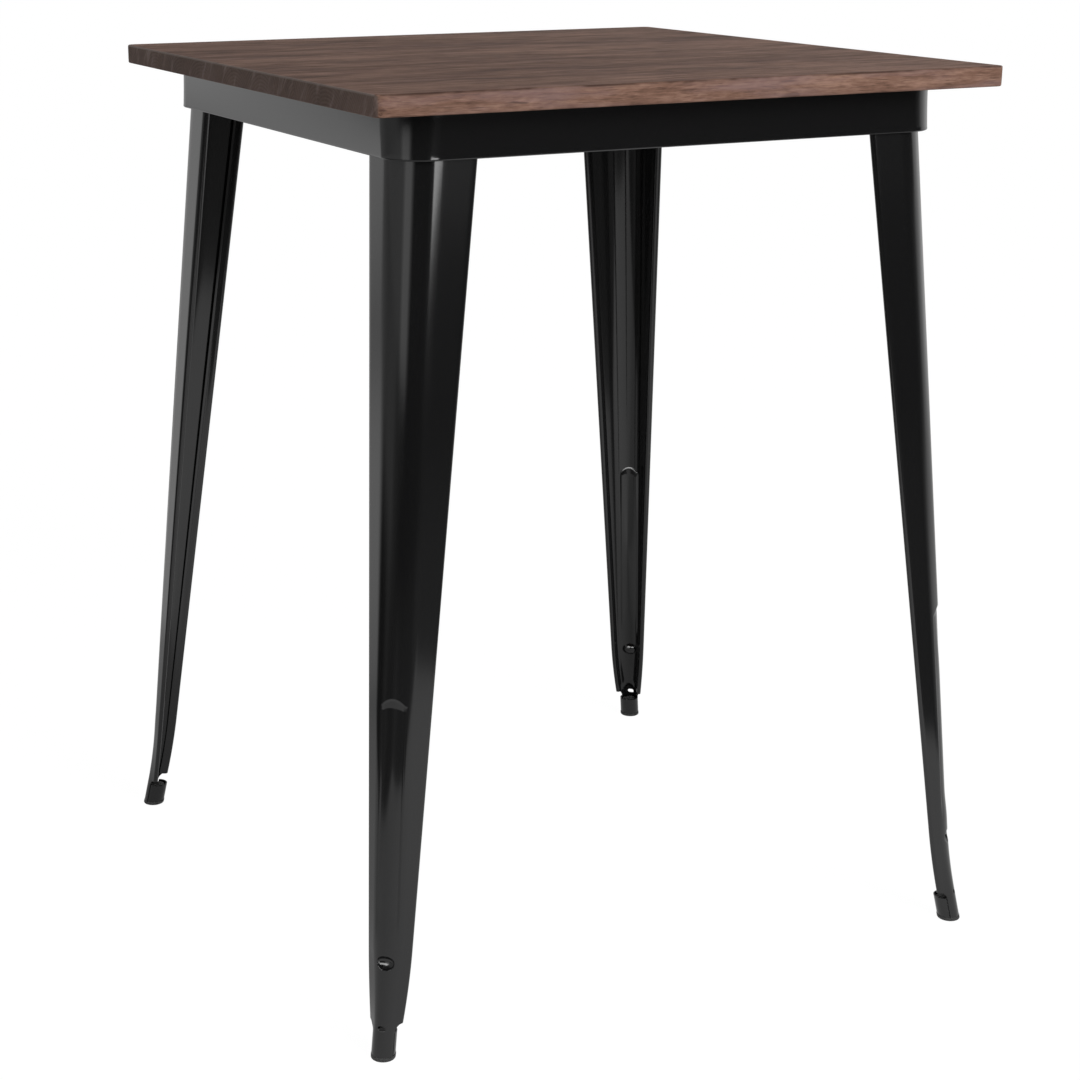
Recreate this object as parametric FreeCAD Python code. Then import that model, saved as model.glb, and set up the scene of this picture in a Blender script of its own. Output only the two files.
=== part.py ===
import FreeCAD, Part
import math
import os

from FreeCAD import Vector

# Square bar table: a glued plank top on a pressed steel apron frame, with four sheet steel legs.
# Millimetres. The origin is on the floor under the middle of the top, +Z is up,
# the planks run along X, and the part is the same seen from all four sides.

# Whole table
table_height = 1067.0
top_side = 787.0
top_thickness = 23.0

# Plank top
stave_count = 11
top_corner_radius = 10.0
top_edge_radius = 2.0

# Apron frame, bent from sheet, with a flange under the top and a folded hem at its lower edge
top_overhang = 46.5
apron_height = 52.0
apron_corner_radius = 50.0
apron_sheet = 1.5
flange_width = 35.0
flange_corner_radius = 20.0
hem_height = 8.0
hem_edge_radius = 1.2

# Leg, pressed from sheet: an open corner section with two wings and a return along each wing
leg_sheet = 1.5
leg_set_back = 7.0
leg_splay = 67.0
wing_width_top = 91.0
wing_width_floor = 31.8
leg_corner_top = 48.0
leg_corner_floor = 22.0
return_bend = 3.0
return_width = 8.0

# The leg's corner swings out over the last stretch and rolls up into a tube foot
flare_start = 125.0
wing_end = 40.0
wing_trim = 5.5
flare_steps = 5
foot_tilt_degrees = 13.2
foot_radius = 14.0
roll_height = 33.0

# Flute pressed along the leg's corner, the round dimple below it and the hole above the foot
flute_top = 406.0
flute_depth = 1.3
flute_half_width = 12.5
flute_side_width = 2.0
dimple_height = 113.5
dimple_radius = 9.0
dimple_depth = 3.2
plug_hole_height = 36.0
plug_hole_length = 9.0
plug_hole_width = 5.6

# Rubber foot: a pad under the tube with a stem that fills it
pad_thickness = 5.0
pad_overhang = 0.3
pad_edge_radius = 1.6
stem_top = 35.0
stem_dome = 5.0

# Corner bracket inside each leg's top, welded to the flange
bracket_sheet = 2.5
bracket_height = 46.0
bracket_corner_radius = 56.0

# Leg screws, two to a leg, through bracket and wing into a nut in the gap behind the apron
bolt_radius = 3.0
bolt_hole_radius = 3.3
bolt_drop = 25.0
bolt_offset = 68.0
bolt_head_radius = 5.6
bolt_head_height = 3.6
bolt_socket_radius = 2.0
bolt_socket_depth = 2.0
bolt_end_beyond_nut = 0.6
washer_radius = 7.0
washer_thickness = 1.2
nut_across_flats = 10.0
nut_height = 4.8

# Support rails across the planks, butted to the flange
rail_spacing = 230.0
rail_width = 40.0
rail_depth = 14.0
rail_sheet = 1.5

# Wood screws that hold the top
screw_radius = 2.0
screw_hole_radius = 2.4
screw_reach = 16.0
screw_tip = 4.0
screw_head_radius = 4.2
screw_head_height = 2.4
screw_recess_radius = 1.6
screw_recess_depth = 1.2
screw_line_inset = 17.0
screw_stave_step = 2
rail_stave_step = 3

# Clearances, the tolerance for edges at one height, and how far a cutting body runs past what it cuts
seat_gap = 0.3
thread_gap = 0.15
bracket_end_gap = 2.0
height_match = 0.01
overrun = 5.0

# Worked out from the sizes above
underside = table_height - top_thickness
apron_bottom = underside - apron_height
frame_seat = underside - apron_sheet
stave_width = top_side / stave_count
apron_side = top_side - 2 * top_overhang
half_apron = apron_side / 2
opening_side = apron_side - 2 * flange_width
stem_radius = foot_radius - leg_sheet - seat_gap
foot_slope = math.tan(math.radians(foot_tilt_degrees))
leg_slope = leg_splay / apron_bottom

quarter_turns = {"back_right": 0, "back_left": 1, "front_left": 2, "front_right": 3}


def save(shape, node):
    if not shape.isValid():
        raise ValueError(node + " is not a valid shape")
    shape.exportStep("parts/" + node + ".step")


def turned(shape, quarters):
    copy = shape.copy()
    copy.rotate(Vector(0, 0, 0), Vector(0, 0, 1), 90 * quarters)
    return copy


def rounded_block(side, radius, low, high):
    # square block about the Z axis with rounded upright edges
    block = Part.makeBox(side, side, high - low, Vector(-side / 2, -side / 2, low))
    upright = [e for e in block.Edges if abs(e.Vertexes[0].Z - e.Vertexes[1].Z) > (high - low) / 2]
    return block.makeFillet(radius, upright)


def edges_at(shape, height):
    return [e for e in shape.Edges if all(abs(v.Z - height) < height_match for v in e.Vertexes)]


# Leg outline by height: the straight taper, the flare near the floor and the tube foot


def leg_reach(z):
    # the wing's outer face, set back behind the apron at the apron's lower edge
    return half_apron - leg_set_back + leg_slope * (apron_bottom - z)


def flare_share(z):
    return max(0.0, (flare_start - z) / (flare_start - wing_end))


def wing_width(z):
    straight = wing_width_floor + (wing_width_top - wing_width_floor) * z / underside
    return straight - wing_trim * flare_share(z) ** 2


def straight_corner_radius(z):
    return leg_corner_floor + (leg_corner_top - leg_corner_floor) * z / underside


def corner_radius(z):
    if z >= flare_start:
        return straight_corner_radius(z)
    share = min(1.0, flare_share(z))
    return straight_corner_radius(flare_start) * (1 - share) + foot_radius * share


def straight_ridge(z):
    # distance from the table's axis to the outside of the leg's corner, on the diagonal
    radius = straight_corner_radius(z)
    return math.sqrt(2) * (leg_reach(z) - radius) + radius


def ridge(z):
    if z >= flare_start:
        return straight_ridge(z)
    start_slope = (straight_ridge(0) - straight_ridge(flare_start)) / flare_start
    low = max(z, wing_end)
    down = flare_start - low
    bend = (foot_slope - start_slope) / (flare_start - wing_end)
    flared = straight_ridge(flare_start) + start_slope * down + bend * down ** 2 / 2
    return flared + foot_slope * (low - z)


def corner_centre(z):
    return (ridge(z) - corner_radius(z)) / math.sqrt(2)


# Cross-sections. An edge is a tuple of two points (a line) or three (an arc), each (x, y).


def on_circle(centre, radius, degrees):
    angle = math.radians(degrees)
    return (centre[0] + radius * math.cos(angle), centre[1] + radius * math.sin(angle))


def arc(centre, radius, start, end):
    return tuple(on_circle(centre, radius, a) for a in (start, (start + end) / 2, end))


def mirrored(path):
    return [tuple((y, x) for x, y in reversed(edge)) for edge in reversed(path)]


def backwards(path):
    return [tuple(reversed(edge)) for edge in reversed(path)]


def wing_angle(bend_centre, bend_radius, centre, radius):
    # direction, in degrees, of the line that touches the bend's circle and the corner's
    dx = centre[0] - bend_centre[0]
    dy = centre[1] - bend_centre[1]
    spread = math.acos((bend_radius - radius) / math.hypot(dx, dy))
    return math.degrees(math.atan2(dy, dx) - spread)


def corner_path(centre, radius, start, fluted):
    if not fluted:
        return [arc(centre, radius, start, 90 - start)]
    outside = radius + flute_depth
    lip = 45 - math.degrees(flute_half_width / outside)
    foot = lip + math.degrees(flute_side_width / outside)
    near = [arc(centre, outside, start, lip)]
    near.append((on_circle(centre, outside, lip), on_circle(centre, radius, foot)))
    return near + [arc(centre, radius, foot, 90 - foot)] + mirrored(near)


def leg_path(z, depth, fluted=False):
    # the leg's outline from one return to the other, at a depth into the sheet
    reach = leg_reach(z)
    edge = reach - wing_width(z)
    bend_centre = (reach - return_bend, edge + return_bend)
    centre = (corner_centre(z), corner_centre(z))
    radius = corner_radius(z)
    slant = wing_angle(bend_centre, return_bend, centre, radius)
    tip = (reach - return_width, edge + depth)
    bend = arc(bend_centre, return_bend - depth, -90, slant)
    wing = (bend[-1], on_circle(centre, radius - depth, slant))
    half = [(tip, bend[0]), bend, wing]
    inner_radius = radius - depth - (flute_depth if fluted else 0)
    corner = corner_path(centre, inner_radius, slant, fluted)
    return half + corner + mirrored(half)


def wire_of(path, z):
    edges = []
    for points in path:
        spots = [Vector(x, y, z) for x, y in points]
        if len(spots) == 2:
            edges.append(Part.LineSegment(spots[0], spots[1]).toShape())
        else:
            edges.append(Part.Arc(spots[0], spots[1], spots[2]).toShape())
    return Part.Wire(edges)


def sheet_wire(z, fluted=False):
    outer = leg_path(z, 0, fluted)
    inner = backwards(leg_path(z, leg_sheet, fluted))
    caps = [(outer[-1][-1], inner[0][0]), (inner[-1][-1], outer[0][0])]
    return wire_of(outer + caps[:1] + inner + caps[1:], z)


def filled_wire(z):
    outer = leg_path(z, 0)
    return wire_of(outer + [(outer[-1][-1], outer[0][0])], z)


def loft(wires):
    return Part.makeLoft(wires, True, True)


def foot_ring(z, radius):
    centre = corner_centre(z)
    circle = Part.Circle(Vector(centre, centre, z), Vector(0, 0, 1), radius)
    return Part.Wire([circle.toShape()])


def foot_core(low, high, radius):
    # the tube foot leans along the diagonal, so its level sections are circles that shift with height
    return loft([foot_ring(low, radius), foot_ring(high, radius)])


def flare_heights():
    step = (flare_start - wing_end) / flare_steps
    return [wing_end + step * i for i in range(flare_steps + 1)]


def diagonal_box(inner, outer, width, low, high):
    # box along the diagonal from the table's axis, between two distances and two heights
    box = Part.makeBox(outer - inner, width, high - low, Vector(inner, -width / 2, low))
    box.rotate(Vector(0, 0, 0), Vector(0, 0, 1), 45)
    return box


def diagonal_rod(along, aside, height, radius, length):
    # rod that lies level along the diagonal and ends at a distance from the table's axis
    rod = Part.makeCylinder(radius, length, Vector(along - length, aside, height), Vector(1, 0, 0))
    rod.rotate(Vector(0, 0, 0), Vector(0, 0, 1), 45)
    return rod


def plug_hole():
    half_run = (plug_hole_length - plug_hole_width) / 2
    out = ridge(plug_hole_height) + overrun
    depth = foot_radius + overrun
    radius = plug_hole_width / 2
    ends = [diagonal_rod(out, side * half_run, plug_hole_height, radius, depth) for side in (-1, 1)]
    middle = diagonal_box(
        out - depth, out, 2 * half_run, plug_hole_height - radius, plug_hole_height + radius
    )
    return middle.fuse(ends)


def dimple_ball(thickness):
    ball_radius = (dimple_radius ** 2 + dimple_depth ** 2) / (2 * dimple_depth)
    spot = (ridge(dimple_height) + ball_radius - dimple_depth) / math.sqrt(2)
    return Part.makeSphere(ball_radius + thickness, Vector(spot, spot, dimple_height))


def rolled_tube():
    tube = foot_core(pad_thickness, wing_end, foot_radius)
    bore = foot_core(pad_thickness - overrun, wing_end + overrun, foot_radius - leg_sheet)
    tube = tube.cut(bore)
    axis = math.sqrt(2) * corner_centre(wing_end)
    behind = axis - foot_radius - overrun
    width = 2 * (foot_radius + overrun)
    return tube.cut(diagonal_box(behind, axis, width, roll_height, wing_end + overrun))


def leg():
    upper = loft([sheet_wire(flute_top), sheet_wire(frame_seat)])
    fluted = loft([sheet_wire(flare_start, True), sheet_wire(flute_top, True)])
    flare = loft([sheet_wire(z) for z in flare_heights()])
    body = upper.fuse([fluted, flare, rolled_tube()])
    filled = loft([filled_wire(z) for z in flare_heights()])
    body = body.fuse(dimple_ball(leg_sheet).common(filled)).removeSplitter()
    return body.cut([dimple_ball(0), plug_hole()] + wing_holes())


# Leg screws. Each stands square to a wing, at a spot on the wing's outer face.


def on_wing(shape, second):
    # moves a shape, made about +X with the wing's outer face at zero, to its place on a wing
    height = frame_seat - bolt_drop
    reach = leg_reach(height)
    shape.rotate(Vector(0, 0, 0), Vector(0, 1, 0), -math.degrees(math.atan(leg_slope)))
    shape.translate(Vector(reach, reach - bolt_offset, height))
    if second:
        shape = shape.mirror(Vector(0, 0, 0), Vector(1, -1, 0))
    return shape


def rod_x(start, end, radius):
    return Part.makeCylinder(radius, end - start, Vector(start, 0, 0), Vector(1, 0, 0))


def wing_holes():
    start = -(leg_sheet + bracket_sheet + overrun)
    return [on_wing(rod_x(start, overrun, bolt_hole_radius), second) for second in (False, True)]


def washer_face():
    # the sheets are measured level, so square to the leaning wing they are a little thinner
    return -(leg_sheet + bracket_sheet) * math.cos(math.atan(leg_slope))


def leg_bolt():
    head_face = washer_face() - washer_thickness
    head = rod_x(head_face - bolt_head_height, head_face, bolt_head_radius)
    crown = [e for e in head.Edges if all(v.X < head_face - bolt_head_height / 2 for v in e.Vertexes)]
    head = head.makeFillet(bolt_head_height / 2, [e for e in crown if len(e.Vertexes) == 1])
    socket_face = head_face - bolt_head_height
    socket = hexagon_x(socket_face - overrun, socket_face + bolt_socket_depth, bolt_socket_radius)
    shank = rod_x(head_face, nut_height + bolt_end_beyond_nut, bolt_radius)
    return head.fuse(shank).cut(socket)


def hexagon_x(start, end, inner_radius):
    outer_radius = inner_radius / math.cos(math.radians(30))
    corners = [on_circle((0, 0), outer_radius, 60 * i) for i in range(7)]
    outline = Part.makePolygon([Vector(start, y, z) for y, z in corners])
    return Part.Face(outline).extrude(Vector(end - start, 0, 0))


def leg_washer():
    face = washer_face()
    ring = rod_x(face - washer_thickness, face, washer_radius)
    return ring.cut(rod_x(face - overrun, face + overrun, bolt_hole_radius))


def leg_nut():
    block = hexagon_x(0, nut_height, nut_across_flats / 2)
    return block.cut(rod_x(-overrun, nut_height + overrun, bolt_radius + thread_gap))


def at_all_wings(make):
    shapes = []
    for quarters in quarter_turns.values():
        for second in (False, True):
            shapes.append(turned(on_wing(make(), second), quarters))
    return Part.makeCompound(shapes)


# Corner bracket: a bent plate flat against the inside of the wings, clear of the leg's round corner


def bracket_wire(z):
    face = leg_reach(z) - leg_sheet
    low = frame_seat - bracket_height
    wing = wing_width(low) - leg_sheet - return_bend - bracket_end_gap
    end = leg_reach(low) - wing
    centre = (face - bracket_corner_radius, face - bracket_corner_radius)
    outer = [((face, end), (face, centre[1])), arc(centre, bracket_corner_radius, 0, 90)]
    outer.append(((centre[0], face), (end, face)))
    back = face - bracket_sheet
    inner_radius = bracket_corner_radius - bracket_sheet
    inner = [((end, face), (end, back)), ((end, back), (centre[0], back))]
    inner.append(arc(centre, inner_radius, 90, 0))
    inner.append(((back, centre[1]), (back, end)))
    inner.append(((back, end), (face, end)))
    return wire_of(outer + inner, z)


def bracket():
    plate = loft([bracket_wire(frame_seat - bracket_height), bracket_wire(frame_seat)])
    return plate.cut(wing_holes())


# Rubber foot


def foot():
    pad = foot_core(0, pad_thickness, foot_radius + pad_overhang)
    pad = pad.makeFillet(pad_edge_radius, edges_at(pad, 0))
    stem = foot_core(pad_thickness, stem_top, stem_radius)
    stem = stem.makeFillet(stem_dome, edges_at(stem, stem_top))
    return pad.fuse(stem).removeSplitter()


# Apron frame


def screw_places():
    line = half_apron - screw_line_inset
    step = screw_stave_step * stave_width
    rim = []
    for along in (-step, 0, step):
        rim += [(along, line), (along, -line), (line, along), (-line, along)]
    rail_step = rail_stave_step * stave_width
    rail = [(x * rail_spacing / 2, y * rail_step) for x in (-1, 1) for y in (-1, 0, 1)]
    return rim, rail


def screw_holes(places, radius, low, high):
    return [Part.makeCylinder(radius, high - low, Vector(x, y, low)) for x, y in places]


def apron():
    inner_side = apron_side - 2 * apron_sheet
    hem_side = inner_side - 2 * apron_sheet
    inner_radius = apron_corner_radius - apron_sheet
    shell = rounded_block(apron_side, apron_corner_radius, apron_bottom, underside)
    shell = shell.cut(rounded_block(inner_side, inner_radius, apron_bottom + hem_height, frame_seat))
    hem_radius = inner_radius - apron_sheet
    hem_low = apron_bottom - overrun
    shell = shell.cut(rounded_block(hem_side, hem_radius, hem_low, apron_bottom + hem_height))
    flange_low = frame_seat - overrun
    shell = shell.cut(rounded_block(opening_side, flange_corner_radius, flange_low, underside + overrun))
    shell = shell.makeFillet(hem_edge_radius, edges_at(shell, apron_bottom))
    rim = screw_places()[0]
    return shell.cut(screw_holes(rim, screw_hole_radius, flange_low, underside + overrun))


# Support rail: a channel with its web against the planks


def rail(side):
    middle = side * rail_spacing / 2
    left = middle - rail_width / 2
    low = underside - rail_depth
    block = Part.makeBox(rail_width, opening_side, rail_depth, Vector(left, -opening_side / 2, low))
    inside = Part.makeBox(
        rail_width - 2 * rail_sheet,
        opening_side + 2 * overrun,
        rail_depth - rail_sheet + overrun,
        Vector(left + rail_sheet, -opening_side / 2 - overrun, low - overrun),
    )
    places = [spot for spot in screw_places()[1] if spot[0] * side > 0]
    holes = screw_holes(places, screw_hole_radius, low, underside + overrun)
    return block.cut([inside] + holes)


# Wood screw, standing on its head


def wood_screw(x, y):
    low = frame_seat - screw_head_height
    head = Part.makeCylinder(screw_head_radius, screw_head_height, Vector(x, y, low))
    head = head.makeFillet(screw_head_height / 2, edges_at(head, low))
    shank = Part.makeCylinder(screw_radius, screw_reach - screw_tip, Vector(x, y, frame_seat))
    point_low = frame_seat + screw_reach - screw_tip
    point = Part.makeCone(screw_radius, 0, screw_tip, Vector(x, y, point_low))
    recess = Part.makeCone(screw_recess_radius, 0, screw_recess_depth, Vector(x, y, low))
    return head.fuse([shank, point]).cut(recess)


# Plank top: one panel, rounded at its corners and edges, parted along the glue lines


def panel():
    block = rounded_block(top_side, top_corner_radius, underside, table_height)
    rims = edges_at(block, table_height) + edges_at(block, underside)
    block = block.makeFillet(top_edge_radius, rims)
    rim, rail_line = screw_places()
    bore_top = frame_seat + screw_reach + seat_gap
    bore_radius = screw_radius + thread_gap
    return block.cut(screw_holes(rim + rail_line, bore_radius, underside - overrun, bore_top))


def stave(whole, index):
    low = -top_side / 2 + index * stave_width
    strip = Part.makeBox(
        top_side + 2 * overrun,
        stave_width,
        top_thickness + 2 * overrun,
        Vector(-top_side / 2 - overrun, low, underside - overrun),
    )
    return whole.common(strip)


os.makedirs("parts", exist_ok=True)

whole_panel = panel()
for number in range(stave_count):
    save(stave(whole_panel, number), "top_stave_%02d" % (number + 1))

save(apron(), "apron_frame")
for side, name in ((-1, "left"), (1, "right")):
    save(rail(side), "support_rail_" + name)

one_leg = leg()
one_bracket = bracket()
one_foot = foot()
for name, quarters in quarter_turns.items():
    save(turned(one_leg, quarters), "leg_" + name)
    save(turned(one_bracket, quarters), "bracket_" + name)
    save(turned(one_foot, quarters), "foot_" + name)

save(at_all_wings(leg_bolt), "leg_bolts")
save(at_all_wings(leg_washer), "leg_washers")
save(at_all_wings(leg_nut), "leg_nuts")

rim_places, rail_places = screw_places()
save(Part.makeCompound([wood_screw(x, y) for x, y in rim_places + rail_places]), "top_screws")
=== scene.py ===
import math

import bmesh
import bpy
from mathutils import Matrix, Vector


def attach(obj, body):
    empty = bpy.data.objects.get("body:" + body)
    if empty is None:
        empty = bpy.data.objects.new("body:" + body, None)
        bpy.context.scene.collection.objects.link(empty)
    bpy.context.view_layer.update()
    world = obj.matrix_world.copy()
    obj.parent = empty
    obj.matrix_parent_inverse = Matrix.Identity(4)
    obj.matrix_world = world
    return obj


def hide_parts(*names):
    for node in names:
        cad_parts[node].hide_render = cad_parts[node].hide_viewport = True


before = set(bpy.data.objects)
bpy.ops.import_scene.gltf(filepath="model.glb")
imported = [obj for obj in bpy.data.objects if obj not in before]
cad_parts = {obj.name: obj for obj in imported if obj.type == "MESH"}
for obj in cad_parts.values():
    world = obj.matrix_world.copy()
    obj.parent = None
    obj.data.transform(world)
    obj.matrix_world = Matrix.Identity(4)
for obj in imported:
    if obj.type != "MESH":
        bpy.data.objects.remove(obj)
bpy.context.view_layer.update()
print("frame loaded with", len(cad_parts), "nodes")

# sizes in metres that several pieces share
table = dict(height=1.067, topSide=0.787, planks=11, underside=1.044, apronLow=0.992, sheet=0.0015)
# the turn in degrees that brings the back right corner's pieces to each corner
corners = {"back_right": 0, "back_left": 90, "front_left": 180, "front_right": 270}


# picking and shaping

def letGo():
    if bpy.context.object and bpy.context.object.mode != "OBJECT":
        bpy.ops.object.mode_set(mode="OBJECT")
    bpy.ops.object.select_all(action="DESELECT")


def takeUp(piece):
    letGo()
    piece.select_set(True)
    bpy.context.view_layer.objects.active = piece


def editPiece(piece):
    takeUp(piece)
    bpy.ops.object.mode_set(mode="EDIT")


def pick(kind, test):
    # selects the faces, edges or vertices of the edit mesh that pass the test
    bpy.ops.mesh.select_mode(type={"faces": "FACE", "edges": "EDGE", "verts": "VERT"}[kind])
    bpy.ops.mesh.select_all(action="DESELECT")
    work = bmesh.from_edit_mesh(bpy.context.object.data)
    for thing in getattr(work, kind):
        if test(thing):
            thing.select_set(True)
    work.select_flush_mode()
    bmesh.update_edit_mesh(bpy.context.object.data)


def pickAll(kind):
    pick(kind, lambda thing: True)


def isUpright(edge):
    low, high = (v.co for v in edge.verts)
    return abs(low.z - high.z) > 10 * (low.xy - high.xy).length


def atHeight(height):
    return lambda thing: all(abs(v.co.z - height) < 1e-5 for v in thing.verts)


def modify(piece, kind, **settings):
    takeUp(piece)
    modifier = piece.modifiers.new(kind.title(), kind)
    for name, value in settings.items():
        setattr(modifier, name, value)
    bpy.ops.object.modifier_apply(modifier=modifier.name)


def carve(piece, cutter):
    modify(piece, "BOOLEAN", object=cutter, operation="DIFFERENCE", solver="EXACT")
    bpy.data.objects.remove(cutter, do_unlink=True)


def settle(piece):
    # puts the object's place into its mesh
    takeUp(piece)
    bpy.ops.object.transform_apply(location=True, rotation=True, scale=True)


def weld(piece, gap=0.00004):
    # joins vertices that nearly meet
    editPiece(piece)
    pickAll("verts")
    bpy.ops.mesh.remove_doubles(threshold=gap)
    letGo()


def smoothUnder(piece, degrees):
    takeUp(piece)
    bpy.ops.object.shade_smooth_by_angle(angle=math.radians(degrees))


def copyOf(piece, name, turn=0):
    twin = piece.copy()
    twin.data = piece.data.copy()
    twin.name = twin.data.name = name
    bpy.context.collection.objects.link(twin)
    twin.data.transform(Matrix.Rotation(math.radians(turn), 4, "Z"))
    return twin


def steps(start, end, count):
    return [start + (end - start) * i / count for i in range(1, count + 1)]


def clamp(share):
    return min(1.0, max(0.0, share))


def ease(share):
    share = clamp(share)
    return share * share * (3 - 2 * share)


def spoke(turn):
    return Vector((math.cos(math.radians(turn)), math.sin(math.radians(turn))))


def fitOut(piece, finish, slotName, *nodes):
    piece.data.materials.clear()
    piece.data.materials.append(finish)
    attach(piece, "root")
    if nodes:
        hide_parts(*nodes)


# shader maths

class Field:
    # a shader socket that sums can be written with
    def __init__(self, socket):
        self.socket = socket

    def make(self, kind, settings=None, values=None, out=0):
        tree = self.socket.id_data
        made = tree.nodes.new("ShaderNode" + kind)
        for name, value in (settings or {}).items():
            if name == "stops":
                setStops(made.color_ramp, value)
            else:
                setattr(made, name, value)
        for name, value in (values or {}).items():
            if isinstance(value, Field):
                tree.links.new(value.socket, made.inputs[name])
            elif isinstance(value, tuple) and len(made.inputs[name].default_value) > len(value):
                made.inputs[name].default_value = (*value, 1.0)
            else:
                made.inputs[name].default_value = value
        return Field(made.outputs[out])

    def math(self, operation, *values):
        return self.make("Math", {"operation": operation}, dict(enumerate(values)))

    def __add__(self, other):
        return self.math("ADD", self, other)

    def __sub__(self, other):
        return self.math("SUBTRACT", self, other)

    def __rsub__(self, other):
        return self.math("SUBTRACT", other, self)

    def __mul__(self, other):
        return self.math("MULTIPLY", self, other)

    def __truediv__(self, other):
        return self.math("DIVIDE", self, other)

    __radd__ = __add__
    __rmul__ = __mul__

    def size(self):
        return self.math("ABSOLUTE", self)

    def floor(self):
        return self.math("FLOOR", self)

    def rise(self, low, high):
        # 0 under low and 1 over high, eased between them
        settings = {"interpolation_type": "SMOOTHSTEP"}
        return self.make("MapRange", settings, {"Value": self, "From Min": low, "From Max": high})

    def band(self, low, high, soft):
        return self.rise(low - soft, low + soft) * (1 - self.rise(high - soft, high + soft))

    def split(self):
        made = self.make("SeparateXYZ", {}, {0: self}).socket.node
        return [Field(socket) for socket in made.outputs]

    def point(self, x, y, z):
        return self.make("CombineXYZ", {}, {0: x, 1: y, 2: z})

    def compass(self, x, y):
        # the compass turn of a direction or place, in degrees from +X
        return self.math("ARCTAN2", y, x) * math.degrees(1)

    def noise(self, point, detail=2.0, rough=0.5):
        values = {"Vector": point, "Scale": 1.0, "Detail": detail, "Roughness": rough}
        return self.make("TexNoise", {}, values)

    def evenNoise(self, waves, detail=2.0, rough=0.5):
        # noise with as many waves per metre along all three axes
        return self.noise(self.make("VectorMath", {"operation": "SCALE"}, {0: self, 3: waves}), detail, rough)

    def tint(self, share, first, second):
        settings = {"data_type": "RGBA", "blend_type": "MIX"}
        return self.make("Mix", settings, {0: share, 6: first, 7: second}, 2)

    def bump(self, strength, depth):
        return self.make("Bump", {}, {"Strength": strength, "Distance": depth, "Height": self})


def setStops(ramp, stops):
    while len(ramp.elements) < len(stops):
        ramp.elements.new(0.5)
    for element, (spot, colour) in zip(ramp.elements, stops):
        element.position = spot
        element.color = (*colour, 1.0)


def newFinish(name, settings):
    # a Principled material with its fixed values, and its object coordinates
    finish = bpy.data.materials.new(name)
    finish.use_nodes = True
    shader = finish.node_tree.nodes["Principled BSDF"]
    for socket, value in settings.items():
        shader.inputs[socket].default_value = (*value, 1.0) if isinstance(value, tuple) else value
    place = finish.node_tree.nodes.new("ShaderNodeTexCoord")
    return finish, Field(place.outputs["Object"])


def feed(finish, fields):
    shader = finish.node_tree.nodes["Principled BSDF"]
    for name, field in fields.items():
        finish.node_tree.links.new(field.socket, shader.inputs[name])


# finishes

paint = dict(
    colour=(0.0060, 0.0060, 0.0062), index=1.5, roughness=0.10, hazeWaves=9.0, haze=0.05,
    peelSize=0.004, peelDepth=0.00002, peelStrength=0.35)


def makePaint():
    # gloss black powder coat with a faint orange peel
    finish, place = newFinish("glossBlackPaint", {"Base Color": paint["colour"], "IOR": paint["index"]})
    peel = place.evenNoise(1 / paint["peelSize"])
    haze = place.evenNoise(paint["hazeWaves"], 4.0, 0.6)
    feed(finish, {
        "Roughness": paint["roughness"] + paint["haze"] * (haze - 0.5),
        "Normal": peel.bump(paint["peelStrength"], paint["peelDepth"])})
    return finish


wood = dict(
    index=1.4, shine=0.06, roughness=0.62, poreRough=0.12, ringRough=0.06, seed=3.7,
    heart=1.0375, heartSide=0.10, heartDrop=0.03, heartTilt=0.05, heartBend=0.022,
    ringWidth=0.0042, ringWander=2.0, earlyWood=(0.10, 0.80), lateWood=(0.86, 1.0), steep=(0.6, 0.8),
    pale=(0.269, 0.161, 0.119), brown=(0.158, 0.088, 0.063), deep=(0.056, 0.032, 0.025),
    grey=(0.218, 0.147, 0.147), cutDark=(0.081, 0.057, 0.048), cutPale=(0.204, 0.156, 0.141),
    paleArris=(0.25, 0.21, 0.19), arris=(0.0012, 0.0026), reliefStrength=0.5, reliefDepth=0.0002)
# how much each pattern adds to the stain's shade, and how strongly the tints over it show
tone = dict(
    cloud=2.4, streak=3.4, thread=2.9, rings=0.30, luck=0.25, fleck=1.5, calm=0.48, middle=0.52,
    brown=(-0.35, 0.75), deep=(0.55, 1.45), deepShare=0.9, pores=0.6, marks=0.7, ash=0.08, edgeAsh=0.40,
    dust=0.55, cutRings=0.15, smudge=0.45, cutShare=0.9, arris=0.85, paleArris=0.6,
    poreRelief=-0.6, ringRelief=0.5, threadRelief=0.5)
# for each pattern: waves per metre along x, y and z, detail, roughness and, for a mask, where it rises
grain = dict(
    wander=((3.4, 5.0, 5.0), 3.0, 0.5, None),
    cloud=((4.8, 23.0, 23.0), 2.0, 0.55, None),
    streak=((12.0, 96.0, 96.0), 4.0, 0.68, None),
    thread=((20.0, 420.0, 420.0), 3.0, 0.65, None),
    fleck=((64.0, 64.0, 300.0), 3.0, 0.65, None),
    smudge=((3.0, 14.0, 9.0), 2.0, 0.5, None),
    pores=((34.0, 760.0, 760.0), 2.0, 0.6, (0.54, 0.68)),
    marks=((8.0, 120.0, 120.0), 1.0, 0.5, (0.70, 0.77)),
    ash=((7.0, 40.0, 70.0), 4.0, 0.6, (0.42, 0.72)),
    dust=((3.0, 75.0, 22.0), 4.0, 0.65, (0.50, 0.72)),
    broken=((16.0, 16.0, 0.0), 3.0, 0.7, (0.38, 0.62)))


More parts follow.
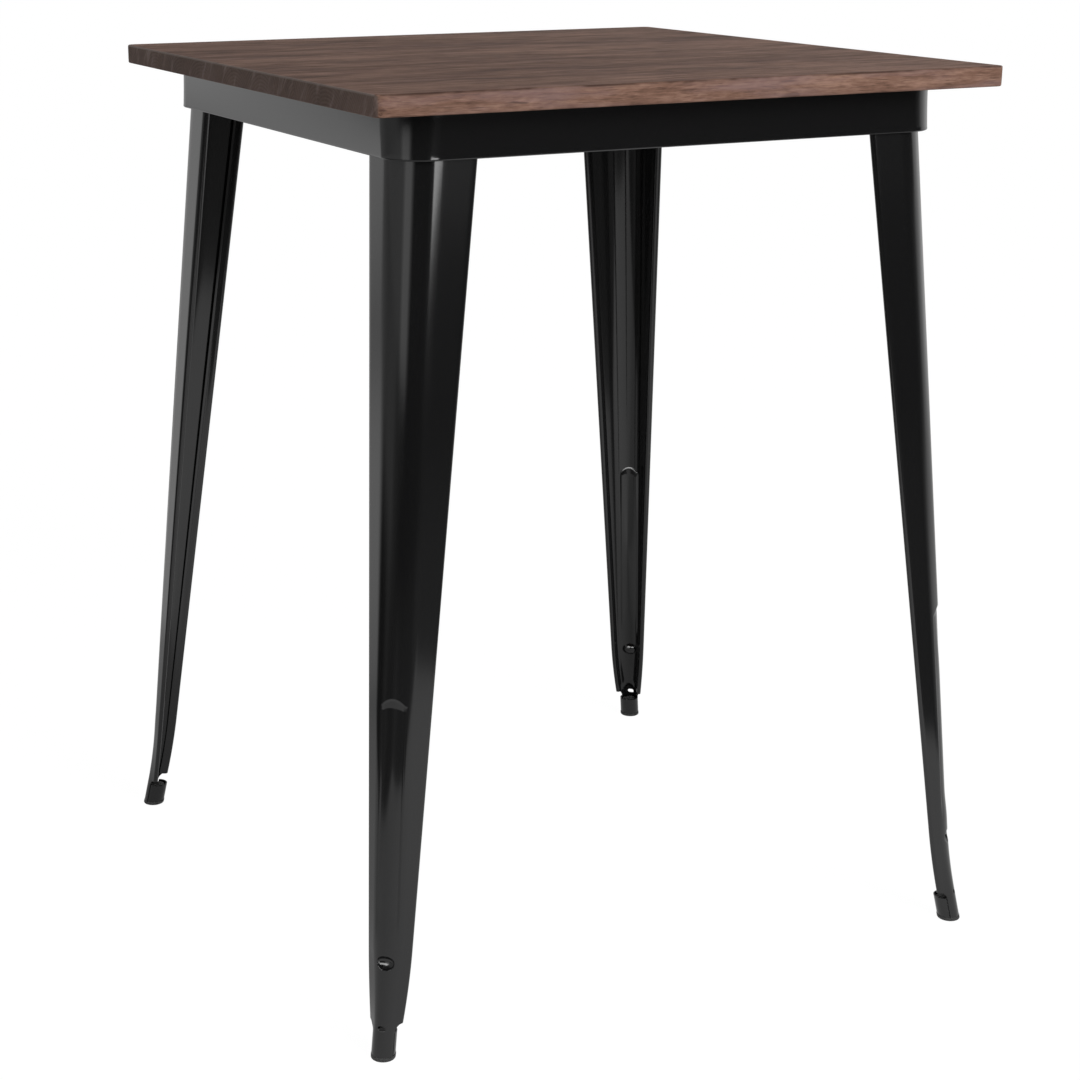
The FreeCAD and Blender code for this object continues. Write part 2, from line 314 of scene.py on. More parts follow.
def makeWood():
    # stained planks along X: each has its own rings, tone and streaks
    finish, place = newFinish("stainedPlanks", {"IOR": wood["index"], "Specular IOR Level": wood["shine"]})
    x, y, z = place.split()
    facing = Field(place.socket.node.outputs["Normal"]).split()

    def pattern(name, moveX=0.0, moveY=0.0, moveZ=0.0):
        waves, detail, rough, mask = grain[name]
        spot = [way * wave + move for way, wave, move in zip((x, y, z), waves, (moveX, moveY, moveZ))]
        made = place.noise(place.point(*spot), detail, rough)
        return made.rise(*mask) if mask else made

    count = y * (table["planks"] / table["topSide"]) + table["planks"] / 2
    plank = count.floor()
    across = (count - plank - 0.5) * (table["topSide"] / table["planks"])
    luck = place.make("TexWhiteNoise", {"noise_dimensions": "1D"}, {"W": plank + wood["seed"]}, 1)
    luckX, luckY, luckZ = luck.split()
    wander = pattern("wander", luckX * 40.0, plank) - 0.5

    # growth rings about a heart that lies a little aslant under each plank
    heartY = across + (luckY - 0.5) * wood["heartSide"] + wander * wood["heartBend"]
    heartZ = z - wood["heart"] + luckZ * wood["heartDrop"] + (luckX - 0.5) * wood["heartTilt"] * x
    radius = place.math("SQRT", heartY * heartY + heartZ * heartZ)
    ring = radius / wood["ringWidth"] + wander * wood["ringWander"]
    late = ring - ring.floor()
    rings = late.rise(*wood["earlyWood"]) * (1 - late.rise(*wood["lateWood"]))

    # stain on the top and the long sides: luck moves a plank's patterns along, and they bend with the wander
    cloud = pattern("cloud", luckX * 9.0, wander * 2.0)
    streak = pattern("streak", luckZ * 7.0, wander * 7.0)
    thread = pattern("thread", luckY * 5.0, wander * 20.0)
    fleck = pattern("fleck", luckZ * 5.0, 0.0, wander * 12.0)
    pores, marks, ash = pattern("pores"), pattern("marks", luckX * 3.0, wander * 9.0), pattern("ash")
    endGrain, longSide = [way.size().rise(*wood["steep"]) for way in facing[:2]]
    shade = tone["cloud"] * (cloud - 0.5) + tone["streak"] * (streak - 0.5)
    shade = shade + tone["thread"] * (thread - 0.5) + tone["rings"] * (rings - 0.4)
    shade = (shade + tone["luck"] * (luckY - 0.5)) * (1 - tone["calm"] * longSide) + tone["middle"]
    shade = shade + tone["fleck"] * (fleck - 0.53) * longSide
    colour = place.tint(shade.rise(*tone["brown"]), wood["pale"], wood["brown"])
    colour = place.tint(shade.rise(*tone["deep"]) * tone["deepShare"], colour, wood["deep"])
    colour = place.tint(pores * tone["pores"], colour, wood["deep"])
    colour = place.tint(marks * tone["marks"], colour, wood["deep"])
    colour = place.tint(ash * (tone["ash"] + tone["edgeAsh"] * longSide), colour, wood["grey"])

    # greyer end grain, darker long arrises and paler end arrises
    dust, smudge = pattern("dust", 0.0, z * 50.0), pattern("smudge")
    cut = tone["dust"] * dust + tone["cutRings"] * rings + tone["smudge"] * (smudge - 0.4)
    cut = place.tint(cut, wood["cutDark"], wood["cutPale"])
    colour = place.tint(endGrain * tone["cutShare"], colour, cut)
    below = table["height"] - z
    sideGap = table["topSide"] / 2 - y.size() + below
    endGap = table["topSide"] / 2 - x.size() + below
    dark = (1 - sideGap.rise(*wood["arris"])) * pattern("broken")
    colour = place.tint(dark * tone["arris"], colour, wood["deep"])
    # the end arrises are tinted paler
    colour = place.tint((1 - endGap.rise(*wood["arris"])) * tone["paleArris"], colour, wood["paleArris"])
    relief = pores * tone["poreRelief"] + rings * tone["ringRelief"] + thread * tone["threadRelief"]
    feed(finish, {
        "Base Color": colour,
        "Roughness": wood["roughness"] + pores * wood["poreRough"] - rings * wood["ringRough"],
        "Normal": relief.bump(wood["reliefStrength"], wood["reliefDepth"])})
    return finish


rubber = dict(
    colour=(0.018, 0.018, 0.018), roughness=0.55, gritWaves=900.0, grit=0.2,
    gritStrength=0.3, gritDepth=0.0001)


def makeRubber():
    finish, place = newFinish("footRubber", {"Base Color": rubber["colour"]})
    grit = place.evenNoise(rubber["gritWaves"], 3.0, 0.6)
    feed(finish, {
        "Roughness": rubber["roughness"] + rubber["grit"] * grit,
        "Normal": grit.bump(rubber["gritStrength"], rubber["gritDepth"])})
    return finish


zinc = dict(
    colour=(0.62, 0.63, 0.64), roughness=0.24, frostWaves=700.0, frost=0.12,
    scuffWaves=250.0, scuff=0.14)


def makeZinc():
    finish, place = newFinish("zincSteel", {"Base Color": zinc["colour"], "Metallic": 1.0})
    frost = place.make("TexVoronoi", {}, {"Vector": place, "Scale": zinc["frostWaves"]})
    scuff = place.evenNoise(zinc["scuffWaves"], 4.0, 0.6)
    feed(finish, {"Roughness": zinc["roughness"] + zinc["frost"] * frost + zinc["scuff"] * scuff})
    return finish


glossPaint = makePaint()
stainedWood = makeWood()
padRubber = makeRubber()
zincSteel = makeZinc()
print("finishes mixed")


# plank top

top = dict(thickness=0.023, cornerRadius=0.010, cornerFaces=10, edgeRadius=0.002, edgeFaces=4, smooth=40)


def makeTop():
    # one panel with rounded corners and edges, then ripped into its planks
    size, thickness = table["topSide"], top["thickness"]
    low = table["height"] - thickness
    letGo()
    bpy.ops.mesh.primitive_cube_add(
        size=1, location=(0, 0, low + thickness / 2), scale=(size, size, thickness))
    panel = bpy.context.object
    settle(panel)
    editPiece(panel)
    pick("edges", isUpright)
    bpy.ops.mesh.bevel(offset=top["cornerRadius"], segments=top["cornerFaces"], affect="EDGES")
    pick("faces", lambda face: abs(face.normal.z) > 0.9)
    bpy.ops.mesh.region_to_loop()
    bpy.ops.mesh.bevel(offset=top["edgeRadius"], segments=top["edgeFaces"], affect="EDGES")
    step = size / table["planks"]
    for number in range(table["planks"]):
        letGo()
        plank = copyOf(panel, "topStave%02d" % (number + 1))
        editPiece(plank)
        front, back = -size / 2 + number * step, -size / 2 + (number + 1) * step
        for edge, cleared in ((front, "clear_inner"), (back, "clear_outer")):
            if abs(edge) < size / 2 - 1e-4:
                pickAll("faces")
                bpy.ops.mesh.bisect(
                    plane_co=(0, edge, 0), plane_no=(0, 1, 0), use_fill=True, **{cleared: True})
        smoothUnder(plank, top["smooth"])
        fitOut(plank, stainedWood, "stained_wood", "top_stave_%02d" % (number + 1))
    bpy.data.objects.remove(panel, do_unlink=True)


makeTop()
print("top ripped into", table["planks"], "planks")


# apron frame

apron = dict(
    side=0.694, cornerRadius=0.050, cornerFaces=32, flange=0.035, edgeFaces=6, smooth=35,
    hem=0.008, hemThick=0.0048, hemRadius=0.0019, topRadius=0.002, firstCut=0.0001,
    flare=0.0021, flareTall=0.043, flareCurve=1.35, flareFade=2, flareCuts=12,
    bead=0.0002, beadTall=0.0036, beadFade=8, beadCuts=3)


def makeApron():
    # a square tube with a flange turned in at its top and a hem folded up inside its lower edge
    low, high = table["apronLow"], table["underside"]
    letGo()
    bpy.ops.mesh.primitive_cube_add(
        size=1, location=(0, 0, low + (high - low) / 2), scale=(apron["side"], apron["side"], high - low))
    shell = bpy.context.object
    shell.name = "apronFrame"
    settle(shell)
    editPiece(shell)
    pick("edges", isUpright)
    bpy.ops.mesh.bevel(offset=apron["cornerRadius"], segments=apron["cornerFaces"], affect="EDGES")
    pick("faces", lambda face: face.normal.z > 0.9)
    bpy.ops.mesh.inset(thickness=apron["flange"])
    bpy.ops.mesh.delete(type="FACE")
    pick("faces", lambda face: face.normal.z < -0.9)
    bpy.ops.mesh.inset(thickness=apron["hemThick"])
    bpy.ops.mesh.extrude_region_move(TRANSFORM_OT_translate={"value": (0, 0, apron["hem"])})
    bpy.ops.mesh.delete(type="FACE")
    for level, radius in ((high, apron["topRadius"]), (low, apron["hemRadius"])):
        pick("edges", lambda edge: atHeight(level)(edge) and isFold(edge))
        bpy.ops.mesh.bevel(offset=radius, segments=apron["edgeFaces"], affect="EDGES")
    hemTop, beadTop, flareTop = (low + apron[name] for name in ("hemRadius", "beadTall", "flareTall"))
    cuts = [hemTop + apron["firstCut"]]
    cuts += steps(hemTop, beadTop, apron["beadCuts"]) + steps(beadTop, flareTop, apron["flareCuts"])
    for level in cuts:
        pickAll("faces")
        bpy.ops.mesh.bisect(plane_co=(0, 0, level), plane_no=(0, 0, 1))
    letGo()
    for vert in shell.data.vertices:
        vert.co += flareOut(vert.co)
    modify(shell, "SOLIDIFY", thickness=table["sheet"], offset=-1, use_even_offset=True)
    smoothUnder(shell, apron["smooth"])
    fitOut(shell, glossPaint, "gloss_black_paint", "apron_frame")


def isFold(edge):
    # true for an edge with two faces that meet at about a right angle
    return len(edge.link_faces) == 2 and edge.calc_face_angle() > 1.3


def flareOut(spot):
    # how far the pressing pushed a spot of the rounded corners outwards
    heart = apron["side"] / 2 - apron["cornerRadius"]
    aside = Vector((max(0.0, abs(spot.x) - heart), max(0.0, abs(spot.y) - heart)))
    if aside.length < 0.001:
        return Vector()
    away = abs(math.degrees(math.atan2(aside.y, aside.x)) - 45) / 45
    share = max(0.0, 1 - (spot.z - table["apronLow"]) / apron["flareTall"])
    push = apron["flare"] * (1 - away ** apron["flareFade"]) * share ** apron["flareCurve"]
    rise = (spot.z - table["apronLow"] - apron["hemRadius"]) / (apron["beadTall"] - apron["hemRadius"])
    push += apron["bead"] * (1 - away ** apron["beadFade"]) * ease(1 - rise)
    push = push * aside.normalized()
    return Vector((math.copysign(push.x, spot.x), math.copysign(push.y, spot.y), 0))


makeApron()
print("apron folded")


# legs

leg = dict(
    top=1.0425, reach=0.340, splay=0.067, smooth=38, softEdge=0.0003, softFrom=76,
    # wings, and the corner between them
    wingTop=0.091, wingFloor=0.0318, wingTrim=0.0045, cornerTop=0.048, cornerFloor=0.022,
    bend=0.0031, bendMore=0.0014, bendHigh=0.85,
    # hem along each wing
    hemTurn=-204, hemSlant=0.0050, hemFlat=0.0036, hemStub=0.0008, hemEnd=0.988, hemStart=0.005,
    # foot that swings out and curls round into a tube
    flareStart=0.125, wingEnd=0.040, footTilt=13.2, footRadius=0.014, curlLate=0.4,
    sheetEnd=0.005, tubeTop=0.0305, seamTurn=68.0, seamGap=0.0012, seamInset=0.0002,
    # flute with an arched dent at its upper end
    fluteHigh=0.4165, fluteDrop=0.0095, fluteLow=0.155, fluteHalf=0.0150, fluteSide=0.0028,
    fluteFade=0.040, fluteDepth=0.0015, fluteSpan=49, stepTall=0.0106, stepDrop=0.0045, stepLip=0.24,
    lipDepth=0.0014, dent=0.0026, dentLong=0.080,
    # dimple
    dimpleHigh=0.1125, dimpleHalf=0.0110, dimpleTall=0.0086, dimpleRound=0.0127, dimpleRim=0.11,
    dimpleDepth=0.0068,
    # slot above the foot, and the bolt holes
    slotHigh=0.0374, slotLong=0.0094, slotTall=0.0060, slotRound=0.49, slotFaces=8,
    boltDrop=0.025, boltOffset=0.068, boltHole=0.0033, boltFaces=32, cutDepth=0.012)
# faces along the parts of the leg's outline
legFaces = dict(floor=18, side=5, corner=7, wing=8, bend=15, slant=2, flat=2, tubeBack=30)
# the height that each stretch of rows runs down to, and its number of rows: close where the sheet bends
legStretches = [
    (0.990, 2), (0.982, 4), (0.450, 11), (0.420, 3), (0.400, 30), (0.315, 5), (0.190, 4), (0.124, 10),
    (0.101, 36), (leg["wingEnd"], 13)]
tubeRows = dict(fillet=12, tube=6)


def reachAt(z):
    return leg["reach"] + leg["splay"] * (table["apronLow"] - z) / table["apronLow"]


def flareShare(z):
    return clamp((leg["flareStart"] - z) / (leg["flareStart"] - leg["wingEnd"]))


def wingAt(z):
    straight = leg["wingFloor"] + (leg["wingTop"] - leg["wingFloor"]) * z / table["underside"]
    return straight - leg["wingTrim"] * flareShare(z) ** 2


def cornerAt(z):
    widening = (leg["cornerTop"] - leg["cornerFloor"]) * max(z, leg["flareStart"]) / table["underside"]
    straight = leg["cornerFloor"] + widening
    return straight + (leg["footRadius"] - straight) * flareShare(z)


def ridgeAt(z):
    # how far the leg's outer corner stands from the table's axis, along the diagonal
    if z >= leg["flareStart"]:
        return math.sqrt(2) * (reachAt(z) - cornerAt(z)) + cornerAt(z)
    taper = (leg["cornerTop"] - leg["cornerFloor"]) / table["underside"]
    slope = math.sqrt(2) * (leg["splay"] / table["apronLow"] + taper) - taper
    steep = math.tan(math.radians(leg["footTilt"]))
    low = max(z, leg["wingEnd"])
    down = leg["flareStart"] - low
    swing = (steep - slope) / (leg["flareStart"] - leg["wingEnd"])
    return ridgeAt(leg["flareStart"]) + slope * down + swing * down ** 2 / 2 + steep * (low - z)


def heartAt(z):
    # x and y of the middle that the leg's corner is rounded about
    return (ridgeAt(z) - cornerAt(z)) / math.sqrt(2)


def fluteDepth(aside, z):
    # how deep the flute is pressed at a spot: it starts with an arched dent and has soft sides
    across = (aside / leg["fluteHalf"]) ** 2
    high = leg["fluteHigh"] - leg["fluteDrop"] * across
    low = leg["fluteHigh"] - leg["stepTall"] - leg["stepDrop"] * across
    step = clamp((high - z) / (high - low))
    side = ease((leg["fluteHalf"] - abs(aside)) / leg["fluteSide"])
    fade = ease((z - leg["fluteLow"]) / leg["fluteFade"] + 0.5)
    lip = leg["stepLip"]
    if step < lip:
        depth = leg["lipDepth"] * step / lip
    else:
        depth = leg["lipDepth"] + (leg["dent"] - leg["lipDepth"]) * (step - lip) / (1 - lip)
    relief = ease((low - z) / leg["dentLong"])
    return (depth + (leg["fluteDepth"] - leg["dent"]) * relief) * side * fade


def dimpleShare(aside, z):
    # a round hollow with steep sides
    away = math.hypot(aside / leg["dimpleHalf"], (z - leg["dimpleHigh"]) / leg["dimpleTall"])
    ball = leg["dimpleRound"]
    reach = min(away, 1.0) * math.sqrt(ball ** 2 - (ball - leg["dimpleDepth"]) ** 2)
    cap = (math.sqrt(ball ** 2 - reach ** 2) - ball + leg["dimpleDepth"]) / leg["dimpleDepth"]
    return cap * ease((1 - away) / leg["dimpleRim"])


def halfSection(z):
    # the leg's outline at one height, from the ridge round to the tip of the return along the +X wing
    held = max(z, leg["wingEnd"])
    radius, heart = cornerAt(held), Vector((heartAt(held),) * 2)
    bend = leg["bend"] + leg["bendMore"] * ease(held / leg["bendHigh"])
    bendSpot = Vector((reachAt(held) - bend, reachAt(held) - wingAt(held) + bend))
    gap = heart - bendSpot
    slant = math.degrees(math.atan2(gap.y, gap.x) - math.acos((bend - radius) / gap.length))

    # rounded corner with the flute and the dimple
    fluteEdge = math.degrees(leg["fluteHalf"] / cornerAt(max(held, leg["flareStart"])))
    lip = fluteEdge * (45 - slant) / leg["fluteSpan"]
    inner = lip * (1 - leg["fluteSide"] / leg["fluteHalf"])
    turns = [0.0] + steps(0, inner, legFaces["floor"]) + steps(inner, lip, legFaces["side"])
    turns += steps(lip, 45 - slant, legFaces["corner"])
    spots = []
    for turn in turns:
        aside = math.radians(turn) * radius
        spot = heart + spoke(45 - turn) * (radius - fluteDepth(aside, z))
        spots.append(spot - spoke(45) * leg["dimpleDepth"] * dimpleShare(aside, z))

    # wing, which curls round into the foot's tube over the fillet
    start, end = heart + spoke(slant) * radius, bendSpot + spoke(slant) * bend
    full = (end - start).length
    share = clamp((z - leg["tubeTop"]) / (leg["wingEnd"] - leg["tubeTop"]))
    seam = math.radians(leg["seamTurn"] - 45 + slant) * radius
    length = full + (seam - full) * math.sqrt(1 - share ** 2)
    curl = ease((1 + leg["curlLate"]) * (1 - share) - leg["curlLate"])
    for along in steps(0, length, legFaces["wing"]):
        straight = start + (end - start) * along / full
        curled = heart + spoke(slant - math.degrees(along / radius)) * radius
        spots.append(straight.lerp(curled, curl))

    # teardrop hem, which ends under the apron
    spots += [bendSpot + spoke(turn) * bend for turn in steps(slant, leg["hemTurn"], legFaces["bend"])]
    opened = ease((leg["hemEnd"] - z) / leg["hemStart"])
    for turn, width, faces in ((leg["hemTurn"], "hemSlant", "slant"), (-180, "hemFlat", "flat")):
        start, reached = spots[-1], leg["hemStub"] + (leg[width] - leg["hemStub"]) * opened
        spots += [start + spoke(turn - 90) * along for along in steps(0, reached, legFaces[faces])]
    drift = heartAt(z) - heart.x
    return [spot + Vector((drift, drift)) for spot in spots]


def legRows():
    rows, high = [leg["top"]], leg["top"]
    for low, count in legStretches:
        rows += steps(high, low, count)
        high = low
    fillet = leg["wingEnd"] - leg["tubeTop"]
    for turn in steps(0, 90, tubeRows["fillet"]):
        rows.append(leg["tubeTop"] + fillet * math.cos(math.radians(turn)))
    return rows + steps(leg["tubeTop"], leg["sheetEnd"], tubeRows["tube"])


def shapeGrid(name, columns, rows, spotAt):
    # a grid whose every vertex is moved to its place: columns run anticlockwise, rows downwards
    letGo()
    bpy.ops.mesh.primitive_grid_add(x_subdivisions=columns, y_subdivisions=rows, size=1)
    sheet = bpy.context.object
    sheet.name = sheet.data.name = name
    for vert in sheet.data.vertices:
        vert.co = spotAt(round((vert.co.x + 0.5) * columns), round((0.5 - vert.co.y) * rows))
    return sheet


def makeLegSheet():
    heights = legRows()
    halves = [halfSection(z) for z in heights]
    ridge = len(halves[0]) - 1

    def spotAt(column, row):
        spot = halves[row][abs(column - ridge)]
        return (*(spot if column <= ridge else spot.yx), heights[row])

    skin = shapeGrid("legSheet", 2 * ridge, len(heights) - 1, spotAt)
    # the hems end where the wings do
    plain = ridge - legFaces["bend"] - legFaces["slant"] - legFaces["flat"]
    wide = 2 * ridge + 1
    spare = set()
    for row, height in enumerate(reversed(heights)):
        if height < leg["wingEnd"] - 1e-6:
            spare.update(row * wide + column for column in range(wide) if abs(column - ridge) > plain)
    editPiece(skin)
    pick("verts", lambda vert: vert.index in spare)
    bpy.ops.mesh.delete(type="VERT")
    letGo()
    return skin


def makeTubeBack():
    gap = math.degrees(leg["seamGap"] / leg["footRadius"])
    heights = [leg["tubeTop"]] + steps(leg["tubeTop"], leg["sheetEnd"], tubeRows["tube"])
    first, last = 45 + leg["seamTurn"] + gap, 405 - leg["seamTurn"] - gap
    turns = [first] + steps(first, last, legFaces["tubeBack"])

    def spotAt(column, row):
        heart = heartAt(heights[row])
        out = spoke(turns[column]) * (leg["footRadius"] - leg["seamInset"])
        return (*(Vector((heart, heart)) + out), heights[row])

    return shapeGrid("tubeBack", legFaces["tubeBack"], tubeRows["tube"], spotAt)


def makePlugSlot():
    # a lying cutter with round ends, square to the leg's corner
    out = ridgeAt(leg["slotHigh"]) / math.sqrt(2)
    letGo()
    bpy.ops.mesh.primitive_cube_add(
        size=1, location=(out, out, leg["slotHigh"]), rotation=(0, 0, math.radians(45)),
        scale=(leg["cutDepth"], leg["slotLong"], leg["slotTall"]))
    cutter = bpy.context.object
    settle(cutter)
    editPiece(cutter)
    through = Vector((1, 1, 0)).normalized()

    def isThrough(edge):
        return abs((edge.verts[0].co - edge.verts[1].co).normalized().dot(through)) > 0.99

    pick("edges", isThrough)
    bpy.ops.mesh.bevel(offset=leg["slotTall"] * leg["slotRound"], segments=leg["slotFaces"], affect="EDGES")
    letGo()
    return cutter


def makeBoltHole(second):
    # a cutter through the +X wing, or through the +Y wing for the second
    height = leg["top"] - leg["boltDrop"]
    reach = reachAt(height)
    aside = reach - leg["boltOffset"]
    letGo()
    bpy.ops.mesh.primitive_cylinder_add(
        vertices=leg["boltFaces"], radius=leg["boltHole"], depth=leg["cutDepth"],
        location=(aside, reach, height) if second else (reach, aside, height),
        rotation=(math.radians(90), 0, 0) if second else (0, math.radians(90), 0))
    return bpy.context.object


def makeLegs():
    skin, tubeBack = makeLegSheet(), makeTubeBack()
    takeUp(skin)
    tubeBack.select_set(True)
    bpy.ops.object.join()
    modify(skin, "SOLIDIFY", thickness=table["sheet"], offset=-1, use_even_offset=True)
    weld(skin)
    modify(skin, "BEVEL", width=leg["softEdge"], segments=1, limit_method="ANGLE",
           angle_limit=math.radians(leg["softFrom"]))
    carve(skin, makePlugSlot())
    carve(skin, makeBoltHole(False))
    carve(skin, makeBoltHole(True))
    weld(skin)
    smoothUnder(skin, leg["smooth"])
    for name, turn in corners.items():
        fitOut(copyOf(skin, "leg_" + name + "_sheet", turn), glossPaint, "gloss_black_paint", "leg_" + name)
    bpy.data.objects.remove(skin, do_unlink=True)


makeLegs()
print("legs pressed")


# rubber feet

foot = dict(
    radius=0.01426, faces=64, pad=0.005, edge=0.0016, edgeFaces=4, smooth=50,
    stemRadius=0.0122, stemTop=0.030, dome=0.005,
    domeRings=((0.0019, 0.95), (0.0016, 0.86), (0.0010, 0.76), (0.0005, 0.6)))


def makeFeet():
    # a round pad with a domed stem that leans with the leg's tube
    heart = heartAt(0)
    lean = heartAt(foot["pad"]) - heart
    tilt = lean / foot["pad"]
    letGo()
    bpy.ops.mesh.primitive_cylinder_add(
        vertices=foot["faces"], radius=foot["radius"], depth=foot["pad"],
        location=(heart, heart, foot["pad"] / 2))
    pad = bpy.context.object
    settle(pad)
    editPiece(pad)
    pick("faces", lambda face: face.normal.z > 0.9)
    bpy.ops.transform.translate(value=(lean, lean, 0))
    bpy.ops.mesh.inset(thickness=foot["radius"] - foot["stemRadius"])
    for rise, size in ((foot["stemTop"] - foot["dome"] - foot["pad"], 1), *foot["domeRings"]):
        bpy.ops.mesh.extrude_region_move(TRANSFORM_OT_translate={"value": (tilt * rise, tilt * rise, rise)})
        bpy.ops.transform.resize(value=(size, size, 1))
    pick("edges", atHeight(0))
    bpy.ops.mesh.bevel(offset=foot["edge"], segments=foot["edgeFaces"], affect="EDGES")
    smoothUnder(pad, foot["smooth"])
    for name, turn in corners.items():
        fitOut(copyOf(pad, "foot_" + name + "_pad", turn), padRubber, "foot_rubber", "foot_" + name)
    bpy.data.objects.remove(pad, do_unlink=True)


makeFeet()
print("feet moulded")


# hardware that keeps its own shape

hardware = {
    "bracket": glossPaint, "support": glossPaint,
    "leg_bolts": zincSteel, "leg_washers": zincSteel, "leg_nuts": zincSteel, "top_screws": zincSteel}

for name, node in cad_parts.items():
    finish = hardware.get(name) or hardware.get(name.split("_")[0])
    if finish:
        for slot in node.material_slots:
            slot.material = finish
print("hardware painted and plated")


# studio

view = dict(
    place=(-1.2992, -2.3945, 1.2695), turn=(72.743, 0.108, -25.785), lens=72.77, shift=(0.1004, 0.0172),
    film=36, sight=100)
studio = dict(
    key=88.0, keySize=2.0, keyPlace=(0.9, -3.6, 2.6), keyAim=(0, 0, 0.9),
    floor=30.0, floorDrop=0.0004, floorGrey=(0.8, 0.8, 0.8), white=1.045, whiteShare=0.94,
    left=-1.2, right=1.34, front=-2.04, back=1.6, poolSoft=0.09, distant=(2.6, 6.6),
    ceiling=(32, 58), ceilingShade=0.8)
# soft boxes on the walls, by their turns and tilts in degrees
frontBox = dict(turns=(-88, -67.2), turnSoft=1.2, lower=(-0.6, 1.6), upper=(20, 32), level=6.5)
highBox = dict(turns=(-166, -90), turnSoft=6, tilts=(25, 48), tiltSoft=4, level=8.0)
# levels of light by the turn in degrees from +X, for the walls and for the floor from far to near
wallGlow = [
    (-180, 0.64), (-171, 0.66), (-166, 1.0), (-162, 1.45), (-148, 1.40), (-143, 0.55), (-138, 0.06),
    (-100, 0.03), (-92, 0.12), (-80, 0.30), (-66, 0.30), (-54, 0.12), (-48, 0.05), (-24, 0.04),
    (-15, 0.10), (-8, 0.85), (0, 0.95), (20, 1.05), (32, 0.7), (100, 0.6), (107, 0.85), (111, 0.8),
    (115, 0.38), (135, 0.46), (160, 0.56), (180, 0.64)]
floorFar = [
    (-180, 0.44), (-170, 0.24), (-158, 0.10), (-148, 0.03), (-100, 0.03), (-80, 0.05), (-68, 0.05),
    (-56, 0.04), (-38, 0.04), (-24, 0.20), (-14, 0.70), (0, 1.0), (15, 1.1), (32, 0.7), (98, 0.6),
    (106, 0.82), (117, 0.80), (120.5, 0.36), (150, 0.36), (166, 0.45), (180, 0.44)]
floorMid = [
    (-180, 0.20), (-168, 0.12), (-156, 0.12), (-144, 0.22), (-132, 0.14), (-100, 0.12), (-90, 0.20),
    (-60, 0.14), (-46, 0.08), (-34, 0.40), (-26, 0.80), (-14, 0.85), (0, 0.62), (20, 0.62), (60, 0.12),
    (94, 0.15), (102, 0.80), (122, 0.80), (130, 0.70), (138, 0.52), (144, 0.20), (150, 0.05),
    (165, 0.06), (180, 0.20)]
floorNear = [
    (-180, 0.55), (-165, 0.72), (-145, 0.80), (-120, 0.92), (-84, 1.00), (-60, 1.00), (-36, 0.78),
    (-12, 0.70), (20, 0.65), (60, 0.40), (100, 0.60), (115, 0.60), (130, 0.42), (150, 0.48),
    (180, 0.55)]


def makeCamera():
    letGo()
    bpy.ops.object.camera_add(location=view["place"], rotation=[math.radians(turn) for turn in view["turn"]])
    camera = bpy.context.object
    camera.data.lens, camera.data.sensor_width = view["lens"], view["film"]
    camera.data.shift_x, camera.data.shift_y = view["shift"]
    camera.data.clip_end = view["sight"]
    bpy.context.scene.camera = camera


def levelAt(turn, levels):
    # looks a turn up in one of the lists of levels
    stops = [((spot + 180) / 360, (level,) * 3) for spot, level in levels]
    return turn.make("ValToRGB", {"stops": stops}, {"Fac": turn / 360 + 0.5})


def makeWorld():
    # walls that the camera sees white and the table sees as bands of light
    world = bpy.data.worlds.new("studioWalls")
    bpy.context.scene.world = world
    world.use_nodes = True
    tree = world.node_tree
    back = tree.nodes["Background"]
    path = tree.nodes.new("ShaderNodeLightPath").outputs
    seen, gloss = Field(path["Is Camera Ray"]), Field(path["Is Glossy Ray"])
    x, y, z = Field(tree.nodes.new("ShaderNodeTexCoord").outputs["Generated"]).split()
    tilt = z.math("ARCSINE", z) * math.degrees(1)
    turn = z.compass(x, y)
    level = levelAt(turn, wallGlow) * (1 - studio["ceilingShade"] * tilt.rise(*studio["ceiling"]))
    box = turn.band(*frontBox["turns"], frontBox["turnSoft"])
    box = box * tilt.rise(*frontBox["lower"]) * (1 - tilt.rise(*frontBox["upper"]))
    level = level + box * frontBox["level"]
    box = gloss * turn.band(*highBox["turns"], highBox["turnSoft"])
    level = level + box * tilt.band(*highBox["tilts"], highBox["tiltSoft"]) * highBox["level"]
    tree.links.new((seen + (1 - seen) * level).socket, back.inputs["Color"])


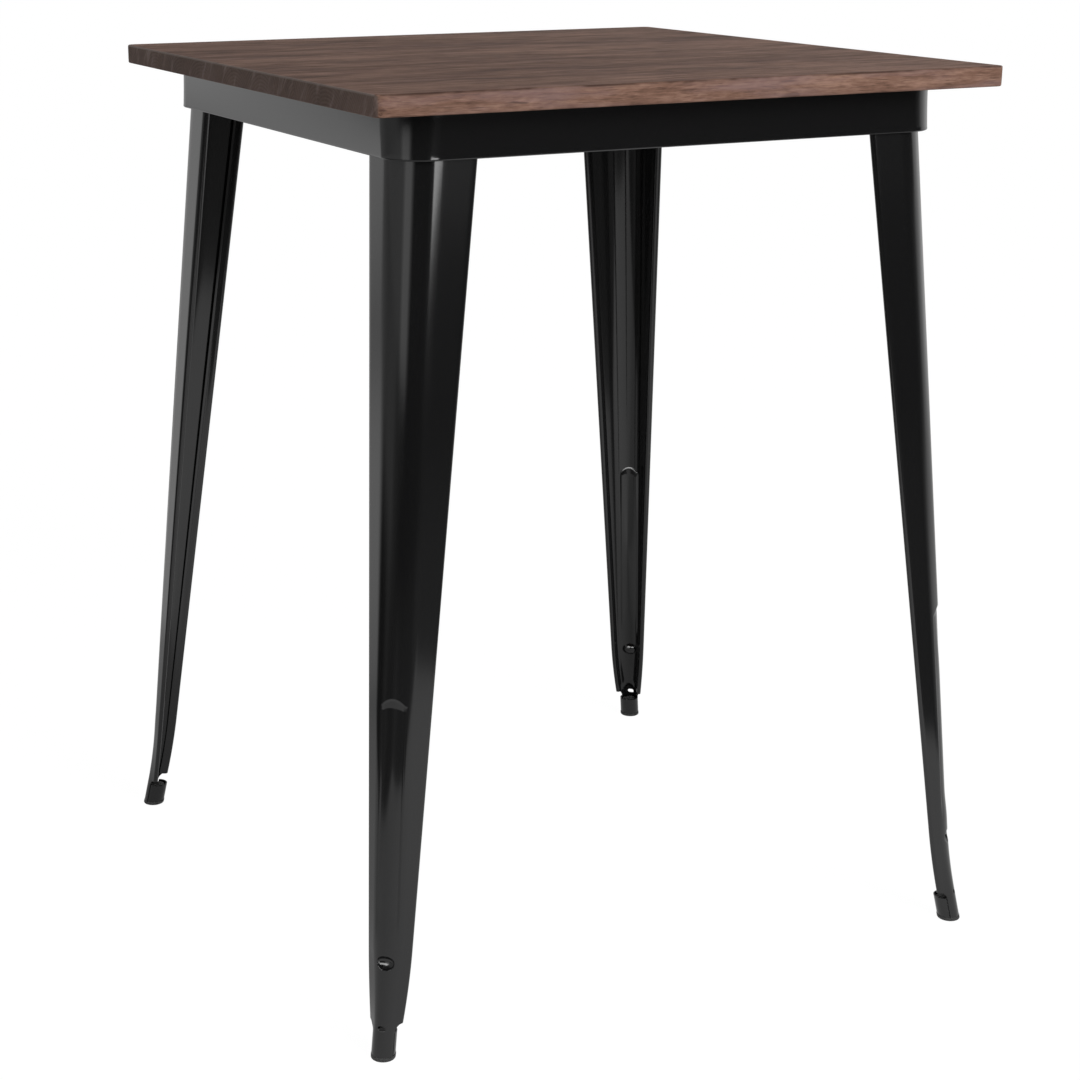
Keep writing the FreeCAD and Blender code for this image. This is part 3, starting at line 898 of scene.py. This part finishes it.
def makeFloor():
    # pale floor that keeps the table's shadow: gloss sees a bright rectangle that lies square to the camera
    letGo()
    bpy.ops.mesh.primitive_plane_add(size=2 * studio["floor"], location=(0, 0, -studio["floorDrop"]))
    floor = bpy.context.object
    floor.name = "floor"
    finish = bpy.data.materials.new("paleFloor")
    finish.use_nodes = True
    tree = finish.node_tree
    tree.nodes.clear()
    path = tree.nodes.new("ShaderNodeLightPath").outputs
    seen, gloss = Field(path["Is Camera Ray"]), Field(path["Is Glossy Ray"])
    x, y = Field(tree.nodes.new("ShaderNodeTexCoord").outputs["Object"]).split()[:2]
    turn = x.compass(x, y)
    faceX, faceY = spoke(view["turn"][2])
    across, along = x * faceX + y * faceY, y * faceX - x * faceY
    width, length = studio["right"] - studio["left"], studio["back"] - studio["front"]
    sideGap = (across - studio["left"] - width / 2).size() - width / 2
    endGap = (along - studio["front"] - length / 2).size() - length / 2
    pool = x.math("MAXIMUM", sideGap, endGap).rise(-studio["poolSoft"], studio["poolSoft"])
    distant = x.math("SQRT", x * x + y * y).rise(*studio["distant"])
    far = levelAt(turn, floorFar) * distant + levelAt(turn, floorMid) * (1 - distant)
    glow = levelAt(turn, floorNear) * (1 - pool) + far * pool
    matte = x.make("BsdfDiffuse", {}, {"Color": studio["floorGrey"]})
    shine = x.make("Emission", {}, {"Color": seen * studio["white"] + (1 - seen) * glow})
    mixed = x.make("MixShader", {}, {0: seen * studio["whiteShare"] + gloss, 1: matte, 2: shine})
    last = tree.nodes.new("ShaderNodeOutputMaterial")
    tree.links.new(mixed.socket, last.inputs["Surface"])
    floor.data.materials.append(finish)


def makeKey():
    # soft light from the front right, which the paint doesn't mirror
    letGo()
    spot = Vector(studio["keyPlace"])
    turn = (Vector(studio["keyAim"]) - spot).to_track_quat("-Z", "Y").to_euler()
    bpy.ops.object.light_add(type="AREA", location=spot, rotation=turn)
    lamp = bpy.context.object
    lamp.data.shape, lamp.data.size, lamp.data.energy = "SQUARE", studio["keySize"], studio["key"]
    lamp.visible_glossy = False
    lamp.visible_camera = False


makeCamera()
makeWorld()
makeFloor()
makeKey()
bpy.context.scene.view_settings.view_transform = "Standard"
print("studio lit")
